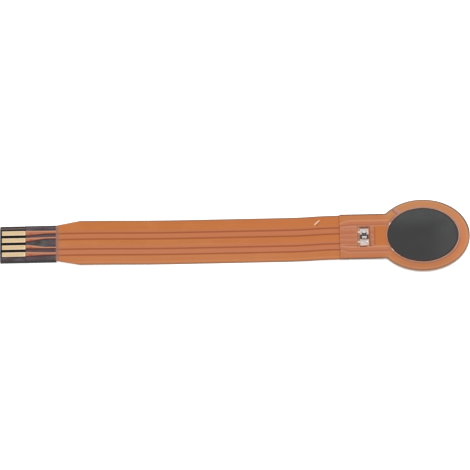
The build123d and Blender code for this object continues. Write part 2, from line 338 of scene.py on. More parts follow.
foil = Finish("etched_copper", roughness=0.36, metallic=1.0)
rolling = foil.noise(5.0, stretch=(0.08, 1.0, 1.0), detail=3.0)
foil.tone = foil.mix((222, 156, 126), (184, 118, 92), foil.ramp(rolling, 0.4, 0.7))
foil.tint((130, 88, 72), 0.5, foil.ramp(foil.noise(1.7, detail=3.0), 0.55, 0.8))
foil.bump(rolling, 0.001)
etched_copper = foil.done()
for number in (1, 2, 3, 4):
    dress(f"conductor_{number}", etched_copper)


# Contact platings
# Nickel and gold plated on the bare end of each finger. Each is a thin pad with rounded rims and fine
# wipe marks along it, with a painted highlight along its edges.

def ring_walls(rings, count, closed):
    """Faces between equal rings of points, and from the last ring to the first where closed."""
    here = np.arange(rings * count).reshape(rings, count)
    beside = np.roll(here, -1, 1)
    corners = np.stack([here, beside, np.roll(beside, -1, 0), np.roll(here, -1, 0)], -1)
    return corners[: rings if closed else rings - 1].reshape(-1, 4).tolist()


def stacked(rings, count):
    """Faces of a closed body that is a stack of equal rings of points: its walls and two ends."""
    ends = [list(range(count))[::-1], list(range((rings - 1) * count, rings * count))]
    return ring_walls(rings, count, closed=False) + ends


def rounded_block(low, high, radius):
    """Block with all edges rounded, in mm, as points and faces.

    A sphere is cut along its three middle planes, and its eight pieces are moved apart to the
    block's corners. The rows and columns that were cut are drawn out into the flat faces.
    """
    steps = 4
    low, high = np.array(low), np.array(high)
    centre, half = (low + high) / 2, (high - low) / 2 - radius
    quarter = np.linspace(0, math.pi / 2, steps)
    turn = np.concatenate([quarter + k * math.pi / 2 for k in range(4)])
    turn_x = np.repeat([1, -1, -1, 1], steps)
    turn_y = np.repeat([1, 1, -1, -1], steps)
    rise = np.concatenate([quarter - math.pi / 2, quarter])
    rise_z = np.repeat([-1, 1], steps)
    level, column = np.meshgrid(np.arange(len(rise)), np.arange(len(turn)), indexing="ij")
    spread = radius * np.cos(rise[level])
    x = centre[0] + turn_x[column] * half[0] + spread * np.cos(turn[column])
    y = centre[1] + turn_y[column] * half[1] + spread * np.sin(turn[column])
    z = centre[2] + rise_z[level] * half[2] + radius * np.sin(rise[level])
    points = np.stack([x, y, z], -1).reshape(-1, 3)
    return points, stacked(len(rise), len(turn))


def place_piece(name, points, faces, material, slot, *nodes, rim=None):
    """Makes a piece from points in mm, merges what coincides, and rides it on the body.

    nodes are the solids of the frame that it stands for. rim, where it is given, is each
    point's share of cut rim, which the finish can read.
    """
    mesh = bpy.data.meshes.new(name)
    mesh.from_pydata((np.asarray(points) * mm).tolist(), [], faces)
    if rim is not None:
        mesh.attributes.new("rim", "FLOAT", "POINT").data.foreach_set("value", rim)
    work = bmesh.new()
    work.from_mesh(mesh)
    bmesh.ops.remove_doubles(work, verts=work.verts, dist=1e-8)
    work.to_mesh(mesh)
    work.free()
    mesh.shade_smooth()
    mesh.set_sharp_from_angle(angle=math.radians(45))
    mesh.materials.append(material)
    piece = bpy.data.objects.new(name, mesh)
    scene.collection.objects.link(piece)
    if nodes:
        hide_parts(*nodes)
    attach(piece, "root")
    return piece


gold = Finish("contact_gold", roughness=0.3, metallic=1.0)
wipes = gold.noise(7.0, stretch=(0.1, 1.0, 1.0), detail=3.0)
from_pair = gold.math("ABSOLUTE", gold.less(gold.math("ABSOLUTE", gold.y), 1.0))
from_middle = gold.math("ABSOLUTE", gold.less(from_pair, 0.5))
side_highlight = gold.ramp(from_middle, 0.16, 0.27)
end_highlight = gold.ramp(gold.x, contact_end - 0.16, contact_end - 0.04)
gold.tone = gold.mix((212, 188, 146), (226, 200, 160), gold.ramp(wipes, 0.35, 0.7))
# Painted highlight along the rounded rims of each pad.
gold.tint((248, 222, 190), 0.9, gold.math("MAXIMUM", side_highlight, end_highlight))
gold.bump(wipes, 0.001)
contact_gold = gold.done()
for number in (1, 2, 3, 4):
    plating = f"contact_plating_{number}"
    low, high = (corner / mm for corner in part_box(plating))
    points, faces = rounded_block(low, high, 0.007)
    place_piece(f"gold_contact_{number}", points, faces, contact_gold, "gold_plating", plating)


# Cover film
# A second polyimide film, pressed over the copper with its glue. It dips a little between the
# traces, so that they stand out as four low ridges, and its die-cut rim is darker.

glue_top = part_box("stiffener_glue")[1].z / mm
head_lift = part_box("rear_adhesive")[1].z / mm
base_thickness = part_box("conductor_2")[0].z / mm
cover_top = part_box("spacer")[0].z / mm - head_lift
bend_clearance = 0.3
stiffener_bend_share = 0.47
head_bend_share = 0.18
connector_half = 2.5
taper_length = 2.5
neck_radius = 0.35
rim_inset = 0.07
rim_drop = 0.012
ridge_dip = 0.018
ridge_slope = 0.12


def film_lift(x):
    """Height of the film's underside: level on the plate, an S-bend down to the table, level
    there, an S-bend up to the head, and level again. An S-bend is two equal arcs that meet."""
    leaves, reaches = stiffener_end + bend_clearance, step_x - bend_clearance
    free_length = reaches - leaves
    lift = np.zeros_like(x)
    for start, share, top in (
        (leaves, stiffener_bend_share, glue_top),
        (reaches, -head_bend_share, head_lift),
    ):
        half_run, half_drop = abs(share) * free_length / 2, top / 2
        radius = (half_run**2 + half_drop**2) / (2 * half_drop)
        way = np.clip((x - start) * np.sign(share), 0, 2 * half_run)
        bend = np.minimum(way, 2 * half_run - way)
        sag = radius - np.sqrt(radius**2 - bend**2)
        lift += np.where(way < half_run, top - sag, sag)
    return lift


def trace_lines(gap):
    """Lines along both sides of each trace of the tail, outside its edges by a gap in mm."""
    x = np.linspace(contact_end, step_x - 0.05, 120)
    half = np.interp(x, narrows, (finger_half, trace_half)) + gap
    middles = [np.interp(x, narrows, ends) for ends in zip(finger_y, trace_y)]
    sides = [side * middle for middle in middles for side in (1, -1)]
    return [np.column_stack([x, middle + edge]) for middle in sides for edge in (half, -half)]


def ridge(x, y):
    """1 over a trace, 0 between traces, with a smooth slope along each edge."""
    half = np.interp(x, narrows, (finger_half, trace_half))
    over = np.zeros_like(x)
    for ends in zip(finger_y, trace_y):
        middle = np.interp(x, narrows, ends)
        way = np.clip((half + ridge_slope / 2 - abs(abs(y) - middle)) / ridge_slope, 0, 1)
        over = np.maximum(over, way * way * (3 - 2 * way))
    return over


def arc(centre, radius, start, stop, steps):
    """Points of an arc in the plan, from one angle to another in degrees."""
    angle = np.radians(np.linspace(start, stop, steps))
    return np.column_stack([centre[0] + radius * np.cos(angle), centre[1] + radius * np.sin(angle)])


def run(points):
    """Straight runs through the given plan points, divided into equal steps."""
    step = 0.15
    pieces = []
    for start, stop in zip(points, points[1:]):
        count = max(2, int(math.dist(start, stop) / step) + 1)
        share = np.linspace(0, 1, count, endpoint=False)[:, None]
        pieces.append((1 - share) * start + share * stop)
    return np.vstack(pieces + [[points[-1]]])


def film_outline(left, half_left):
    """Closed outline of a film from its left end to the far side of the head, anticlockwise.

    The upper side is the left end, the taper where the film has one, the tail's side, the
    small fillet at the neck and the arc of the head. The lower side is its mirror image.
    """
    middle_y = tail_half + neck_radius
    middle_x = -math.sqrt((head_radius + neck_radius) ** 2 - middle_y**2)
    turn = math.degrees(math.atan2(middle_y, middle_x))
    side = [(left, half_left)]
    if left < stiffener_end:
        side += [(stiffener_end, connector_half), (stiffener_end + taper_length, tail_half)]
    side = run([(left, 0)] + side + [(middle_x, tail_half)])
    neck = arc((middle_x, middle_y), neck_radius, -90, turn - 180, 8)
    head = arc((0, 0), head_radius, turn, 0, 110)
    upper = np.vstack([side[1:-1], neck[:-1], head[:-1]])
    lower = upper[::-1] * (1, -1)
    return np.vstack([upper, [(head_radius, 0)], lower, [(left, 0)]])[::-1]


def inset(loop, distance):
    """Moves a closed anticlockwise loop inwards, each point along the normal between its edges."""
    ahead = np.roll(loop, -1, 0) - loop
    ahead /= np.linalg.norm(ahead, axis=1)[:, None]
    along = ahead + np.roll(ahead, 1, 0)
    along /= np.linalg.norm(along, axis=1)[:, None]
    corner = np.clip((along * ahead).sum(1), 0.5, 1)[:, None]
    return loop + np.column_stack([-along[:, 1], along[:, 0]]) * (distance / corner)


def film_sheet(loops, lines, spots, top, bottom, is_open):
    """A film with any plan, as points, faces and each point's share of cut rim.

    The plan is triangulated between its outlines, the lines along which it folds and a field of
    inner points. The triangles get a top and a bottom height, and a wall closes every edge that
    only one triangle has. is_open tells which triangles lie in an opening and drop out.
    """
    curves = loops + lines
    starts = np.cumsum([0] + [len(curve) for curve in curves])
    edges = []
    for number, curve in enumerate(curves):
        index = np.arange(len(curve)) + starts[number]
        pairs = np.column_stack([index, np.roll(index, -1)])
        edges += (pairs if number < len(loops) else pairs[:-1]).tolist()
    found = delaunay_2d_cdt(np.vstack(curves + [spots]).tolist(), edges, [], 1, 1e-6)
    plan = np.array([tuple(point) for point in found[0]])
    triangles = np.array(found[2])
    middle = plan[triangles].mean(1)
    triangles = triangles[~is_open(middle[:, 0], middle[:, 1])]
    used, place = np.unique(triangles, return_inverse=True)
    plan, triangles = plan[used], place.reshape(-1, 3)
    a, b, c = plan[triangles].transpose(1, 2, 0)
    area = (b[0] - a[0]) * (c[1] - a[1]) - (b[1] - a[1]) * (c[0] - a[0])
    triangles = np.where(area[:, None] > 0, triangles, triangles[:, ::-1])
    sides = np.vstack([triangles[:, [0, 1]], triangles[:, [1, 2]], triangles[:, [2, 0]]])
    _, first, times = np.unique(np.sort(sides, 1), axis=0, return_index=True, return_counts=True)
    border = sides[first[times == 1]]
    rim = np.zeros(len(plan))
    rim[border.ravel()] = 1
    x, y = plan[:, 0], plan[:, 1]
    upper = np.column_stack([x, y, top(x, y) - rim_drop * rim])
    lower = np.column_stack([x, y, bottom(x, y)])
    count = len(plan)
    walls = np.column_stack([border[:, 1], border[:, 0], border[:, 0] + count, border[:, 1] + count])
    faces = triangles.tolist() + (triangles[:, ::-1] + count).tolist() + walls.tolist()
    return np.vstack([upper, lower]), faces, np.concatenate([rim, np.ones(count)])


def field(x_low, x_high, y_half, step, keep):
    """Inner plan points on a square grid, in mm, where keep says so."""
    x, y = np.meshgrid(np.arange(x_low, x_high, step), np.arange(-y_half, y_half + step / 2, step))
    chosen = keep(x, y)
    return np.column_stack([x[chosen], y[chosen]])


def window_loop(grow):
    """Rounded rectangle of the chip's window, larger all round by grow."""
    left, right, half = window_left - grow, window_right + grow, window_half + grow
    corner = window_corner + grow
    centres = ((right - corner, half - corner), (left + corner, half - corner))
    centres += ((left + corner, corner - half), (right - corner, corner - half))
    return np.vstack([arc(c, corner, 90 * k, 90 * k + 90, 7) for k, c in enumerate(centres)])


def in_window(x, y, grow=0.0):
    """Tells which plan points lie in the chip's window, with the corners taken as square."""
    return (x > window_left - grow) & (x < window_right + grow) & (abs(y) < window_half + grow)


def far_wall(film, start, stop):
    """Mask of the far wall of the chip's window, from and to distances beyond its edge in mm."""
    along_wall = film.band(film.x, window_left - 0.1, window_right + 0.1, 0.02)
    return film.both(along_wall, film.band(film.y, window_half + start, window_half + stop, 0.02))


def show_rim(film, colour, strength):
    """Tints the cut rim of a film, where its corners were pressed down by the die."""
    share = film.add("Attribute")
    share.attribute_name = "rim"
    film.tint(colour, strength, film.ramp(share.outputs["Fac"], 0.2, 0.9))


def in_cover(x, y):
    """Tells which plan points are well inside the cover film."""
    tail = (x > stiffener_end + taper_length + 0.5) & (abs(y) < tail_half - 0.15)
    return (np.hypot(x, y) < head_radius - 0.2) | (x < -4.2) & (tail | (abs(y) < connector_half - 0.2))


def cover_height(x, y):
    """Top of the cover film, which dips between the traces of the tail."""
    dips = ridge_dip * (x < step_x - 0.1) * (1 - ridge(x, y))
    return film_lift(x) + cover_top - dips


outline = film_outline(contact_end, connector_half)
points, faces, rim = film_sheet(
    [outline, inset(outline, rim_inset), window_loop(0)],
    trace_lines(-ridge_slope / 2) + trace_lines(ridge_slope / 2),
    field(contact_end + 0.4, head_radius, 4.6, 0.5, in_cover),
    cover_height,
    lambda x, y: film_lift(x) + base_thickness,
    in_window,
)

cover = amber_film("cover_polyimide")
cover.tint((198, 110, 56), 0.5, cover.ramp(cover.x, -24.0, -17.0), cover.ramp(cover.y, -1.9, -1.0))
cover.tint((196, 113, 54), 0.4, cover.ramp(cover.x, -17.0, -13.5))
between_pair = cover.band(cover.math("ABSOLUTE", cover.y), 0.84, 1.39, 0.06)
cover.tint((194, 114, 76), 0.7, between_pair)
cover.tint((206, 134, 86), 0.6, cover.band(cover.y, -2.86, -2.68, 0.1))
on_plate = cover.ramp(cover.x, stiffener_end, stiffener_end - 0.1)
mottle = cover.noise(2.0, stretch=(0.35, 1.0, 1.0), detail=4.0)
amber = cover.tone
cover.tone = cover.mix((56, 42, 46), (88, 76, 82), cover.ramp(mottle, 0.35, 0.68))
# Painted reflection on the wedge between the two middle traces.
reflecting_wedge = cover.patch(-41.7, -40.1, -0.4, 0.4, 0.4)
cover.tint((84, 84, 76), 0.8, cover.ramp(mottle, 0.3, 0.5), reflecting_wedge)
cover.tint((94, 60, 56), cover.ramp(cover.y, 1.5, -0.5, 0.4, 0.7), between_pair)
cover.tint((92, 80, 84), 0.45, cover.ramp(cover.y, -1.7, -2.0))
cover.tint((46, 35, 35), 0.85, cover.ramp(cover.y, 2.32, 2.4))
cover.tint((58, 50, 52), 0.65, cover.ramp(cover.y, -2.28, -2.38))
cover.tone = cover.mix(amber, cover.tone, on_plate)
# Paler towards -Y: the same painted sheen as the film.
amber_trace = cover.mix((191, 114, 68), (193, 116, 78), cover.ramp(cover.y, 1.6, -1.6))
trace_tone = cover.mix(amber_trace, (186, 116, 84), on_plate)
# Painted shade along the near edge of each trace, darker over the plate.
near_edge_shade = cover.mix((159, 78, 32), (80, 32, 26), on_plate)
fanned = cover.both(on_plate, cover.ramp(cover.x, *narrows))
# Where the traces fan out near the contacts, the painted shade at their near edges is deeper red.
fanout_shade_zone = cover.patch(contact_end + 0.4, contact_end + 0.75, -1.9, 1.9, 0.2)
for side in (1, -1):
    for number in (1, 0):
        near, far = trace_edges(cover, side, number)
        if number:
            near = cover.less(near, cover.both(on_plate, 0.01 - 0.03 * side))
            far = cover.less(far, cover.both(fanned, 0.08))
        else:
            near = cover.less(near, cover.both(on_plate, 0.12))
        cover.tint(trace_tone, 0.9, trace_body(cover, near, far, step_x))
        # Over the plate, a painted highlight along the far edge of each trace.
        cover.tint((200, 140, 114), 0.85, cover.band(far, -0.17, 0.01, 0.05), on_plate)
        # Painted shade along the near edge of the trace.
        cover.tint(near_edge_shade, 0.85, cover.band(near, -0.18, 0.03, 0.08))
        cover.tint((150, 58, 24), 0.6, cover.band(near, -0.05, 0.2, 0.12), fanout_shade_zone)
off_plate = cover.less(1.0, on_plate)
cover.tint((178, 124, 98), 0.3, cover.ramp(cover.x, stiffener_end + 0.8, stiffener_end), off_plate)
beside_plate = cover.ramp(cover.x, stiffener_end + 0.45, stiffener_end + 0.05)
cover.tint((138, 104, 96), 0.6, beside_plate, off_plate)
# Painted shadow of the flake on the cover film, in a line beside it.
along, across = cover.along_across(math.radians(53), -11.31, 1.77)
cover.tint((138, 84, 54), 0.8, cover.band(across, -0.06, 0.06, 0.08), cover.band(along, 0.0, 0.6, 0.1))
rim_tone = cover.mix((142, 107, 84), (20, 12, 14), on_plate)
# Towards the ring the rim and walls are lightened instead, as painted light on their shade.
rim_tone = cover.mix(rim_tone, (206, 172, 150), cover.ramp(cover.x, *onto_ring, 0.0, 0.9))
cover.tint(rim_tone, 0.75, cover.ramp(cover.y, 2.84, 2.98))
cover.tint(rim_tone, 0.7, cover.ramp(cover.y, -2.93, -3.01))
show_rim(cover, rim_tone, 0.95)
# Painted light on the far wall of the chip's window, which lies in shade.
cover.tint((196, 138, 112), 0.9, far_wall(cover, -0.05, 0.05))
place_piece("cover_sheet", points, faces, cover.done(), "orange_film", "cover_film", rim=rim)


# Spacer
# The adhesive layer between the two films of the head. Only its cut edge ever shows, amber round the
# head and a little redder beside the chip, with painted light on the far wall of the chip's window and
# at the ring.

spacer = Finish("spacer_adhesive", roughness=0.45)
haze = spacer.noise(1.1, detail=3.0)
spacer.tone = spacer.mix((178, 136, 106), (158, 114, 82), spacer.ramp(haze, 0.35, 0.65))
# Painted light on the far wall of the chip's window, which lies in shade.
spacer.tint((236, 170, 138), 0.9, far_wall(spacer, -0.1, 0.1))
spacer.tint((178, 124, 98), 0.9, spacer.patch(shade_and_flux_from, chip_x + 0.6, 1.2, 1.6, 0.1))
spacer.tint((120, 84, 62), 0.9, spacer.ramp(spacer.x, -4.3, -4.5), spacer.ramp(spacer.y, -2.9, -3.05))
# Painted light on the walls at the ring.
spacer.tint((204, 170, 148), 0.8, spacer.ramp(spacer.x, *onto_ring))
dress("spacer", spacer.done())


# Head film
# The upper film of the head, with the round window for the disc and the chip's window. It sinks a
# little over the air pocket and the vent slot. It shows the leads beneath it with a painted highlight
# at their far edges and painted shade at their near edges, and folds painted as light on their crests
# and shade on their slopes and in their creases.

disc_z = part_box("force_disc")[0].z / mm
head_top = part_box("head_film")[1].z / mm
window_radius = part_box("disc_seal")[1].x / mm
pocket_x = -5.15
pocket_half = 1.285
vent_angle = math.radians(129.5)
vent_half = 0.25
sink = 0.02
setback = 0.05


def sunk(x, y):
    """1 over the air pocket and over the vent slot, 0 elsewhere, with soft edges."""
    edge = 0.12
    along = x * math.cos(vent_angle) + y * math.sin(vent_angle)
    across = y * math.cos(vent_angle) - x * math.sin(vent_angle)
    slot = np.clip((vent_half - abs(across)) / edge + 0.5, 0, 1) * (along > 3)
    from_left = np.clip((x - pocket_x) / edge + 0.5, 0, 1)
    from_sides = np.clip((pocket_half - abs(y)) / edge + 0.5, 0, 1)
    return np.maximum(slot, from_left * from_sides * (x < -3))


def in_head(x, y):
    """Tells which plan points are well inside the head film and outside its windows."""
    reach = np.hypot(x, y)
    inside = (reach < head_radius - 0.15) | (x < -4) & (abs(y) < tail_half - 0.15)
    return inside & (reach > window_radius + 0.15) & ~in_window(x, y, 0.18)


outline = film_outline(step_x, tail_half)
loops = [outline, inset(outline, rim_inset)]
loops += [arc((0, 0), window_radius + grow, 0, 357.5, 144) for grow in (0, rim_inset)]
loops += [window_loop(setback), window_loop(setback + rim_inset)]
points, faces, rim = film_sheet(
    loops,
    [],
    field(step_x + 0.2, head_radius, 4.9, 0.12, in_head),
    lambda x, y: head_top - sink * sunk(x, y),
    lambda x, y: np.full_like(x, disc_z),
    lambda x, y: in_window(x, y, setback - 0.01) | (np.hypot(x, y) < window_radius * 0.999),
)

head = amber_film("head_polyimide")
reach = head.from_axis()
ring = head.ramp(head.x, -4.6, -3.4)
# Round the ring: painted light towards the far side and the right, and painted shade at the near side.
head.tint((196, 130, 80), 0.9, head.ramp(head.y, -3.0, 3.0), ring)
head.tint((208, 126, 80), 0.6, head.ramp(head.x, 2.4, 4.6), ring)
head.tint((184, 114, 68), 0.7, head.ramp(head.y, -3.2, -4.0), ring)
in_tail = head.ramp(head.x, -3.4, -4.6)
head.tint((194, 123, 80), 0.6, head.ramp(head.y, 1.8, 2.4), in_tail)
head.tint((188, 114, 76), 0.6, head.ramp(head.y, -2.1, -2.4), in_tail)
outside_tail = head.ramp(head.x, -3.5, -3.4, 0.0, 10.0)
from_side = head.less(tail_half, head.math("ADD", head.math("ABSOLUTE", head.y), outside_tail))
from_edge = head.math("MAXIMUM", from_side, head.less(head_radius, reach))
# Painted light in a band inside the outer edge, stronger towards the far side.
edge_light_strength = head.ramp(head.y, -4.0, 1.0, 0.4, 0.8)
head.tint((196, 142, 104), edge_light_strength, head.ramp(from_edge, 0.5, 0.22), ring)
far_inside = head.both(head.ramp(head.y, -2.5, 1.5), head.ramp(head.x, -3.4, -2.2))
inner_tone = head.mix((158, 103, 80), (188, 132, 108), far_inside)
head.tint(inner_tone, 0.72, head.ramp(reach, window_radius + 0.4, window_radius + 0.08))
wander = head.both(head.less(head.noise(0.9, detail=3.0), 0.5), 0.22)
drawn_y = head.math("ADD", head.y, wander)
left_of_pocket = head.ramp(head.x, pocket_x + 0.05, pocket_x - 0.1)
pink_zone = head.both(left_of_pocket, head.band(head.y, -1.75, 1.75, 0.3))
head.tint((192, 116, 80), 0.8, pink_zone)
# Folds in the pink zone, painted as light on the crests and as shade on the slopes and in the creases.
lit_crest, slope, shaded_crease = (197, 127, 96), (182, 109, 74), (172, 99, 68)
folds = (
    (1.30, 0.32, lit_crest), (0.95, 0.30, lit_crest), (0.64, 0.14, slope), (0.43, 0.13, shaded_crease),
    (0.14, 0.20, lit_crest), (-0.24, 0.16, slope), (-0.52, 0.22, lit_crest), (-0.73, 0.10, slope),
    (-0.98, 0.13, shaded_crease), (-1.15, 0.12, lit_crest), (-1.38, 0.14, slope), (-1.58, 0.20, lit_crest),
)
for middle, width, colour in folds:
    fold = head.band(drawn_y, middle - width / 2, middle + width / 2, 0.1)
    head.tint(colour, 0.75, fold, left_of_pocket)
streaks = head.noise(3.2, stretch=(0.2, 1.0, 1.0), detail=3.0)
head.tint((178, 100, 74), 0.35, head.ramp(streaks, 0.45, 0.7), pink_zone)
head.tint((193, 110, 50), 0.9, head.patch(pocket_x, -3.2, -pocket_half, pocket_half, 0.06))
pocket_line = head.patch(pocket_x - 0.05, pocket_x + 0.09, -pocket_half, pocket_half, 0.05)
head.tint((168, 84, 34), 0.8, pocket_line)
off_combs = head.ramp(head.x, -3.4, -3.7)
for side, near_shift, far_shift in ((1, 0.04, 0.09), (-1, -0.08, -0.01)):
    near, far = trace_edges(head, side, 1)
    near, far = head.less(near, near_shift), head.less(far, far_shift)
    lead = head.both(trace_body(head, near, far, combs_x), off_combs)
    head.tint((191, 116, 80), 0.7, lead)
    # Painted highlight along the far edge of each lead and painted shade along its near edge, with a
    # lighter band beyond that.
    head.tint((208, 144, 110), 0.7, head.band(far, -0.06, 0.12, 0.1), off_combs)
    head.tint((170, 102, 74), 0.8, head.band(near, -0.1, 0.08, 0.1), off_combs)
    head.tint((200, 132, 104), 0.6, head.band(near, -0.32, -0.16, 0.1), off_combs)
    head.bump(lead, 0.006)
along, across = head.along_across(vent_angle)
from_disc = head.ramp(along, 3.0, 3.1)
head.tint((192, 140, 122), 0.8, head.band(across, -vent_half - 0.06, vent_half, 0.08), from_disc)
head.tint((158, 100, 82), 0.75, head.band(across, 0.0, vent_half + 0.04, 0.1), from_disc)
around = head.patch(window_left - 0.16, window_right + 0.1, -window_half - 0.1, window_half + 0.1, 0.12)
head.tint((182, 126, 96), 0.4, around)
# Painted shade along the near edge of the chip's window.
near_sill_shade = head.patch(window_left + 0.2, window_right - 0.35, -window_half - 0.22, -window_half, 0.06)
head.tint((94, 54, 38), 0.92, near_sill_shade)
darker_edge = head.math("MAXIMUM", in_tail, head.ramp(head.x, 0.5, 2.5))
edge_tone = head.mix((140, 110, 88), (108, 80, 64), darker_edge)
head.tint(edge_tone, 0.85, head.ramp(from_edge, 0.24, 0.12), head.ramp(head.y, -1.0, 1.0))
weaker = head.ramp(in_tail, 0.0, 1.0, 0.7, 0.2)
head.tint((146, 98, 78), weaker, head.ramp(from_edge, 0.16, 0.04), head.ramp(head.y, 1.0, -1.0))
off_step = head.ramp(head.x, step_x + 0.06, step_x + 0.2, 0.0, 0.75)
by_window = head.patch(window_left - 0.3, window_right + 0.3, 0.1 - window_half, window_half + 0.3, 0.1)
show_rim(head, (124, 86, 68), head.both(off_step, head.ramp(by_window, 0.0, 1.0, 1.0, 0.15)))
# Painted light on the shaded edge of the step where the head film begins.
head.tint((206, 136, 92), 0.6, head.ramp(head.x, step_x + 0.1, step_x))
# Painted light on the far wall of the chip's window, which lies in shade.
head.tint((240, 172, 136), 0.9, far_wall(head, 0.0, 0.1), head.upright())
place_piece("head_sheet", points, faces, head.done(), "orange_film", "head_film", rim=rim)


# Force disc
# A disc of carbon-filled polymer that rests on the spacer. It is matt and dark grey, with painted light
# towards its far right side and painted shade just inside its rim, with a rounded rim and a face that
# isn't quite even.

def turned(profile, steps, closed):
    """A turned piece from a profile of radius and height, as points and faces.

    The profile is carried round in equal steps. An open one starts and ends on the axis, where
    its points merge into poles. A closed one makes a ring.
    """
    profile = np.asarray(profile, float)
    angle = np.linspace(0, 2 * math.pi, steps, endpoint=False)
    radius, angles = np.meshgrid(profile[:, 0], angle, indexing="ij")
    height = np.broadcast_to(profile[:, 1][:, None], radius.shape)
    points = np.stack([radius * np.cos(angles), radius * np.sin(angles), height], -1).reshape(-1, 3)
    return points, ring_walls(len(profile), steps, closed)


disc_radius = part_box("force_disc")[1].x / mm
disc_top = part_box("force_disc")[1].z / mm
disc_edge = 0.03
dish = 0.003
rounding = arc((disc_radius - disc_edge, disc_top - disc_edge), disc_edge, 0, 90, 6)
face_r = np.linspace(disc_radius - disc_edge, 0, 40)[1:]
face_z = disc_top - dish * (1 - np.cos(face_r / disc_radius * 2 * math.pi)) / 2
profile = np.vstack([[(0, disc_z), (disc_radius, disc_z)], rounding, np.column_stack([face_r, face_z])])
points, faces = turned(profile, 160, closed=False)

carbon = Finish("carbon_polymer", roughness=0.6, level=0.2)
reach = carbon.from_axis()
cloud = carbon.noise(0.45, detail=4.0)
grain = carbon.noise(6.0, detail=3.0)
# Painted light towards the far right side of the disc.
paler = carbon.math("MAXIMUM", carbon.ramp(carbon.x, 0.3, 3.4), carbon.ramp(carbon.y, 0.7, 2.9))
carbon.tone = carbon.mix((54, 54, 55), (72, 73, 73), paler)
carbon.tint((62, 60, 60), 0.4, carbon.ramp(cloud, 0.4, 0.7))
carbon.tint((46, 46, 47), 0.3, carbon.ramp(grain, 0.52, 0.75))
# Painted shade just inside the disc's rim.
carbon.tint((72, 44, 34), 0.8, carbon.ramp(reach, 3.5, 3.7))
carbon.bump(grain, 0.003)
carbon.bump(cloud, 0.002)
place_piece("carbon_disc", points, faces, carbon.done(), "force_polymer", "force_disc")


# Disc seal
# A thin bead of pale resin in the slit round the disc, with rounded shoulders. It swells a little where
# the two outer leads pass beneath it, and a painted glint sits on each swell.

seal_low, seal_high = (corner.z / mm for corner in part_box("disc_seal"))
swells = np.radians((154.8, 211.9))
swell_width = 0.06
swell_height = 0.004
across = np.linspace(0, 1, 9)
width = window_radius - disc_radius
foot = head_top - rim_drop
crown = foot + (seal_high - 0.005 - foot) * np.sin(np.pi * across) ** 0.7
crown = np.column_stack([window_radius - width * across, crown])
profile = np.vstack([[(disc_radius, seal_low), (window_radius, seal_low)], crown])
points, faces = turned(profile, 240, closed=True)
angle = np.arctan2(points[:, 1], points[:, 0])[:, None]
from_swell = np.mod(angle - swells + np.pi, 2 * np.pi) - np.pi
near_swell = np.exp(-((from_swell / swell_width) ** 2)).sum(1)
points[:, 2] += swell_height * near_swell * (points[:, 2] > foot + 0.001)

resin = Finish("seal_resin", roughness=0.4, level=0.4)
resin.tone = resin.mix((194, 156, 138), (168, 130, 112), resin.ramp(resin.noise(1.2), 0.35, 0.7))
resin.tint((182, 126, 96), 0.65, resin.ramp(resin.x, -2.8, -3.5))
# Painted glints on the swells where the outer leads pass beneath.
for swell in swells.tolist():
    glint = resin.spot(disc_radius * math.cos(swell), disc_radius * math.sin(swell), 0.1, 0.3)
    resin.tint((244, 226, 212), 0.9, glint)
place_piece("seal_bead", points, faces, resin.done(), "seal_resin", "disc_seal")


# Chip resistor
# A white ceramic block with a resistive film and a black glaze on top, between two tinned end
# caps that wrap over its top, end and underside.

ceramic = Finish("chip_ceramic", roughness=0.5)
pores = ceramic.noise(14.0, detail=3.0)
ceramic.tone = ceramic.mix((208, 204, 196), (184, 180, 172), ceramic.ramp(pores, 0.4, 0.7))
ceramic.bump(pores, 0.002)
points, faces = rounded_block(chip_low, chip_high, 0.015)
place_piece("ceramic_block", points, faces, ceramic.done(), "chip_ceramic", "chip_body")

paste = Finish("resistive_layer", roughness=0.5)
paste.tone = paste.mix((30, 30, 34), (48, 47, 50), paste.ramp(paste.noise(12.0), 0.4, 0.7))
dress("chip_resistive_film", paste.done())


def slab(x, y, top, bottom):
    """Closed slab over a grid of plan points: a top, a bottom and four walls, in mm."""
    levels = [np.stack([x, y, np.broadcast_to(z, x.shape)], -1).reshape(-1, 3) for z in (top, bottom)]
    grid = np.arange(x.size).reshape(x.shape)
    cells = np.stack([grid[:-1, :-1], grid[:-1, 1:], grid[1:, 1:], grid[1:, :-1]], -1).reshape(-1, 4)
    edge = np.concatenate([grid[0], grid[1:, -1], grid[-1, -2::-1], grid[-2:0:-1, 0]])
    after = np.roll(edge, -1)
    walls = np.column_stack([after, edge, edge + x.size, after + x.size])
    return np.vstack(levels), np.vstack([cells, cells[:, ::-1] + x.size, walls]).tolist()


def cushion(low, high, columns, rows):
    """Plan grid from corner to corner, and the distances -1 to 1 across it both ways."""
    across, along = np.meshgrid(np.linspace(-1, 1, columns), np.linspace(-1, 1, rows))
    x = (low.x + high.x) / 2 + across * (high.x - low.x) / 2
    y = (low.y + high.y) / 2 + along * (high.y - low.y) / 2
    return x, y, across, along


dent = 0.09
glaze = Finish("black_glaze", roughness=0.36, level=0.3)
glaze.tone = glaze.mix((30, 30, 36), (48, 47, 52), glaze.ramp(glaze.noise(10.0), 0.4, 0.7))
glaze.tint((104, 104, 110), 0.8, glaze.spot(chip_x, -0.02, 0.03, 0.16))
low, high = (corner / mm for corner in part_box("chip_coat"))
x, y, across, along = cushion(low, high, 25, 33)
end = 1 - dent / high.y * (1 - across**2) * (along > 0)
crown = (1 - across**12) * (1 - np.clip(abs(along) / end, 0, 1) ** 12)
points, faces = slab(x, y, low.z + 0.004 + (high.z - low.z - 0.004) * crown, low.z)
place_piece("glaze_coat", points, faces, glaze.done(), "chip_coat", "chip_coat")

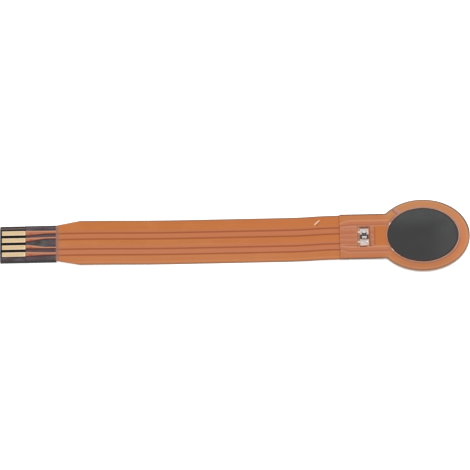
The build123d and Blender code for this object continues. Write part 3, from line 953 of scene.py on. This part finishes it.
tin = Finish("bright_tin", roughness=0.46, metallic=1.0)
frost = tin.noise(6.0, detail=4.0)
tin.tone = tin.mix((218, 208, 203), (174, 171, 174), tin.ramp(frost, 0.42, 0.68))
on_stub = tin.ramp(tin.x, chip_x - 0.42, chip_x - 0.5)
tin.tint((236, 196, 176), 0.75, tin.math("MAXIMUM", on_stub, tin.ramp(tin.y, -1.0, -1.12)))
# Painted shadow from the far wall of the window over the far end of the land.
tin.tint((104, 70, 58), 0.92, tin.ramp(tin.y, 1.09, 1.17))
tin.tint((186, 152, 130), 0.7, tin.ramp(tin.x, chip_x + 0.16, chip_x + 0.34))
tin.bump(frost, 0.006)
bright_tin = tin.done()
cap_wall = 0.03
for number, side in ((1, 1), (2, -1)):
    low, high = (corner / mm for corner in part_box(f"chip_cap_{number}"))
    end, inner = (high.y, low.y) if side > 0 else (low.y, high.y)
    x = np.linspace(low.x, high.x, 11)
    bulge = inner - max(side, 0) * dent * (1 - ((x - chip_x) / (high.x - chip_x)) ** 2)
    wall, foot, roof = end - side * cap_wall, low.z + cap_wall, high.z - cap_wall
    section = [(bulge, high.z), (end, high.z), (end, low.z), (inner, low.z)]
    section += [(inner, foot), (wall, foot), (wall, roof), (bulge, roof)]
    lines = [np.column_stack(np.broadcast_arrays(x, y, z)) for y, z in section[::side]]
    points = np.stack(lines, 1).reshape(-1, 3)
    faces = stacked(len(x), len(section))
    cap = place_piece(f"end_cap_{number}", points, faces, bright_tin, "tin", f"chip_cap_{number}")
    bevel = cap.modifiers.new("soft_edges", "BEVEL")
    bevel.width = 0.009 * mm
    bevel.segments = 3


# Solder joints
# Tin solder that wets the land and the bared end of its trace, and climbs the end of the chip in
# a hollow slope. It is bright, and its foot is rounded at the land's edge.

land_half = 0.43
stub_half = 0.13
wetted = 0.024
climb = 0.15
fillet_run = 0.45
fillet_half = 0.24
fillet_fade = 0.17
for number, side in ((1, 1), (2, -1)):
    low, high = (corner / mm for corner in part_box(f"solder_joint_{number}"))
    land_low = low.copy()
    land_low.x = chip_x - land_half
    x, y, across, along = cushion(land_low, high, 41, 41)
    beyond = side * y - (chip_high.y + cap_wall)
    hump = np.clip(1 - np.clip(beyond, 0, None) / fillet_run, 0, 1) ** 2
    beside = np.clip(1 - np.clip(abs(x - chip_x) - fillet_half, 0, None) / fillet_fade, 0, 1) ** 2
    outside = 1 / (1 + np.exp(-(beyond + 0.01) / 0.008))
    foot = (1 - across**8) * (1 - along**8)
    top = low.z + 0.004 + wetted * foot + climb * hump * beside * outside * foot
    points, faces = slab(x, y, top, low.z)
    place_piece(f"solder_{number}", points, faces, bright_tin, "tin", f"solder_joint_{number}")
    x, y, across, along = cushion(low, high, 21, 13)
    x = low.x + (land_low.x - low.x + 0.02) * (across + 1) / 2
    y = side * trace_y[0] + along * stub_half
    top = low.z + 0.003 + 0.018 * (1 - along**4) * (1 - np.clip(-across, 0, 1) ** 8)
    points, faces = slab(x, y, top, low.z)
    place_piece(f"solder_tail_{number}", points, faces, bright_tin, "tin")


# Flake on the tail
# A sliver of the cover film that has been scraped up near the head. It is pale and curls up along one
# side, and beside it painted shadow darkens the cover film.

flake_start = np.array((-11.55, 1.82))
flake_end = np.array((-10.92, 2.52))
along_flake = (flake_end - flake_start) / np.linalg.norm(flake_end - flake_start)
across_flake = np.array((-along_flake[1], along_flake[0]))
flake_half = 0.085
flake_curl = 0.05
share, wing = np.meshgrid(np.linspace(0, 1, 25), np.linspace(-1, 1, 9))
width = flake_half * np.sin(np.pi * np.clip(share * 0.96 + 0.02, 0, 1)) ** 0.6
spine = flake_start + share[..., None] * (flake_end - flake_start)
plan = spine + (wing * width)[..., None] * across_flake
curl = flake_curl * ((wing + 1) / 2) ** 1.6 * np.sin(np.pi * share) ** 0.5
x, y = plan[..., 0], plan[..., 1]
height = film_lift(x.ravel()).reshape(x.shape) + cover_top - ridge_dip + curl
points, faces = slab(x, y, height + 0.012, height - 0.002)
scrape = Finish("scraped_film", roughness=0.4)
scrape.tone = scrape.mix((250, 200, 170), (232, 164, 126), scrape.ramp(scrape.noise(6.0), 0.45, 0.75))
place_piece("scraped_flake", points, faces, scrape.done(), "orange_film")


# Floor, light and camera
# A white floor, a white surround and soft lamps from above and behind, at the level where a
# colour renders as it is written. The camera looks down on the sensor through a long lens.

def looked_at(tree):
    """1 for a ray from the camera, a gloss or a clear piece, 0 for one that gathers light."""
    path = tree.nodes.new("ShaderNodeLightPath").outputs
    looked = path["Is Camera Ray"]
    for ray in ("Is Glossy Ray", "Is Transmission Ray"):
        either = tree.nodes.new("ShaderNodeMath")
        either.operation = "MAXIMUM"
        tree.links.new(looked, either.inputs[0])
        tree.links.new(path[ray], either.inputs[1])
        looked = either.outputs[0]
    return looked


floor_half, floor_z = 1.5, -0.00001
floor_mesh = bpy.data.meshes.new("floor")
corners = [(-floor_half, -floor_half), (floor_half, -floor_half)]
corners += [(floor_half, floor_half), (-floor_half, floor_half)]
floor_mesh.from_pydata([(x, y, floor_z) for x, y in corners], [], [(0, 1, 2, 3)])
floor = bpy.data.objects.new("floor", floor_mesh)
scene.collection.objects.link(floor)
paper_glow = 0.65
paper = Finish("white_floor", roughness=0.9, level=0.1)
paper.shader.inputs["Emission Color"].default_value = (1, 1, 1, 1)
paper.feed(paper.shader.inputs["Emission Strength"], paper.both(looked_at(paper.tree), paper_glow))
paper.tone = paper.mix((238.61,) * 3, (236.15,) * 3, paper.noise(0.8))
floor_mesh.materials.append(paper.done())

world = bpy.data.worlds.new("surround")
scene.world = world
world.use_nodes = True
tree = world.node_tree
background = tree.nodes["Background"].inputs
background["Color"].default_value = (1, 1, 1, 1)
strength = tree.nodes.new("ShaderNodeMapRange")
strength.inputs["To Min"].default_value = 0.78
tree.links.new(looked_at(tree), strength.inputs["Value"])
tree.links.new(strength.outputs["Result"], background["Strength"])


def lamp(name, place, size, watts):
    """A soft square lamp at a place in metres, turned towards the middle of the sensor."""
    light = bpy.data.lights.new(name, "AREA")
    light.shape = "SQUARE"
    light.size = size
    light.energy = watts
    holder = bpy.data.objects.new(name, light)
    scene.collection.objects.link(holder)
    holder.location = place
    way = np.array((-0.02, 0.0, 0.0)) - place
    tilt = math.atan2(math.hypot(*way[:2]), -way[2])
    holder.rotation_euler = (tilt, 0.0, math.atan2(-way[0], way[1]))


lamp("key_lamp", (0.36, 0.3, 0.42), 0.2, 1.08)
lamp("fill_lamp", (-0.36, -0.4, 0.4), 0.35, 0.33)

elevation = math.radians(48.5)
roll = math.radians(1.2)
frame_pixels = 470
pixels_per_mm = 9.4
head_pixel = (422.9, 234.45)
distance = 0.9
right_flat = np.array((1.0, 0.0, 0.0))
up_flat = np.array((0.0, math.sin(elevation), math.cos(elevation)))
back = np.array((0.0, -math.cos(elevation), math.sin(elevation)))
right = math.cos(roll) * right_flat - math.sin(roll) * up_flat
up = math.cos(roll) * up_flat + math.sin(roll) * right_flat
target = np.array((0.0, 0.0, disc_top))
target -= right * (head_pixel[0] - frame_pixels / 2) / pixels_per_mm
target += up * (head_pixel[1] - frame_pixels / 2) / pixels_per_mm
camera_data = bpy.data.cameras.new("camera")
camera = bpy.data.objects.new("camera", camera_data)
scene.collection.objects.link(camera)
camera_data.lens = camera_data.sensor_width * distance / (frame_pixels / pixels_per_mm * mm)
turn = np.eye(4)
turn[:3, :3] = np.column_stack([right, up, back])
turn[:3, 3] = target * mm + back * distance
camera.matrix_world = Matrix(turn.tolist())
scene.camera = camera
scene.view_settings.view_transform = "Standard"
